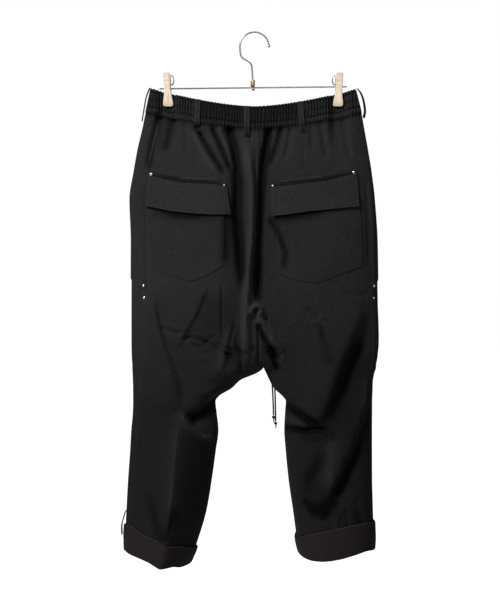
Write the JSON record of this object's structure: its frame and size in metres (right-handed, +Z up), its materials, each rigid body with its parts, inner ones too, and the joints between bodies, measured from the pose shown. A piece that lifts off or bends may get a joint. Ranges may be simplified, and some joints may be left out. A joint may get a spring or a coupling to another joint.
{
  "type": "harem pants on a clip hanger",
  "caption": "Black low-crotch trousers with gathered waistband, flap pockets and turn-up cuffs, hung from a steel clip hanger with wooden jaws.",
  "frame": {"origin": "inner top of the hanger's hook, where it bears on a rail", "axes": "+Z up, +X to the right of a viewer who faces the back of the trousers, +Y away from that viewer"},
  "size_m": [0.4763, 0.145, 0.9839],
  "materials": {
    "twill": "matt black twill",
    "cord": "black round cord",
    "rivet_metal": "bright rivet",
    "steel": "polished steel wire",
    "brass": "aged plated brass",
    "wood": "bare pale wood"
  },
  "bodies": {
    "root": {"back_left": "twill", "back_right": "twill", "front_left": "twill", "front_right": "twill", "waistband_back": "twill", "waistband_front": "twill", "side_pocket_left": "twill", "side_pocket_right": "twill", "pocket_left": "twill", "pocket_right": "twill", "flap_left": "twill", "flap_right": "twill", "welt_left": "twill", "welt_right": "twill", "loop_back_left": "twill", "loop_back_centre": "twill", "loop_back_right": "twill", "loop_front_left": "twill", "loop_front_right": "twill", "loop_side_left": "twill", "loop_side_right": "twill", "cuff_back_left": "twill", "cuff_back_right": "twill", "cuff_front_left": "twill", "cuff_front_right": "twill", "cuff_tab_left": "twill", "rivet_flap_left_inner": "rivet_metal", "rivet_flap_left_outer": "rivet_metal", "rivet_flap_right_inner": "rivet_metal", "rivet_flap_right_outer": "rivet_metal", "rivet_side_left_upper": "rivet_metal", "rivet_side_left_lower": "rivet_metal", "rivet_side_right_upper": "rivet_metal", "rivet_side_right_lower": "rivet_metal", "drawstring_left": "cord", "drawstring_right": "cord", "knot_left": "cord", "knot_right": "cord", "hook": "steel", "hook_tip": "steel", "hanger_rod": "steel", "spring_left": "steel", "spring_right": "steel", "ferrule": "brass", "hanger_stud": "brass", "peg_left_back": "wood", "peg_left_front": "wood", "peg_right_back": "wood", "peg_right_front": "wood"}
  },
  "joints": []
}
